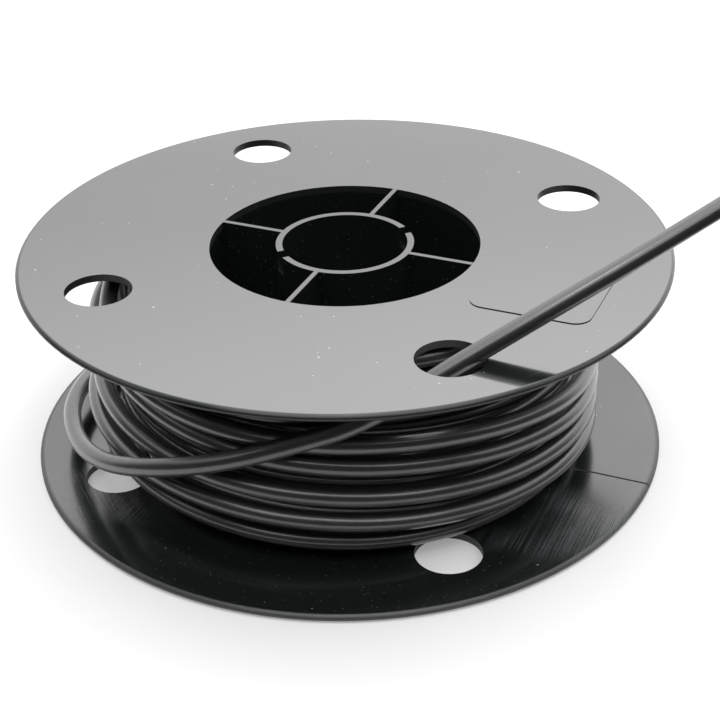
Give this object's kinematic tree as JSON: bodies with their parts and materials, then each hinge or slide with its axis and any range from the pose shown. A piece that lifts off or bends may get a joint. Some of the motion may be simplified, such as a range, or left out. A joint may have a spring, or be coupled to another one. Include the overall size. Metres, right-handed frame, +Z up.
{
  "type": "wire spool",
  "caption": "Flanged plastic reel with an open webbed hub and snap-together halves, wound with round black control-cable casing whose free end leaves through a flange hole.",
  "frame": {"origin": "centre of the hub on the lower flange's outer face, where the reel stands", "axes": "+Z up along the hub axis; +X through the flange hole a quarter turn after the cable outlet; -Y through the hole that the cable leaves by"},
  "size_m": [0.2, 0.2, 0.1051],
  "materials": {
    "reel_plastic": "smooth injection-moulded black plastic with fine scratches and dust",
    "cable_jacket": "glossy extruded black jacket",
    "spiral_steel": "bright cut edge of flat-wire spiral",
    "liner_plastic": "natural white slippery liner"
  },
  "bodies": {
    "root": {"lower_flange": "reel_plastic", "lower_barrel_half": "reel_plastic", "lower_hub_spider": "reel_plastic", "upper_flange": "reel_plastic", "upper_barrel_half": "reel_plastic", "upper_hub_spider": "reel_plastic", "cable_winding": "cable_jacket", "cable_tail": "cable_jacket", "cable_spiral_end": "spiral_steel", "cable_liner_end": "liner_plastic"}
  },
  "joints": []
}
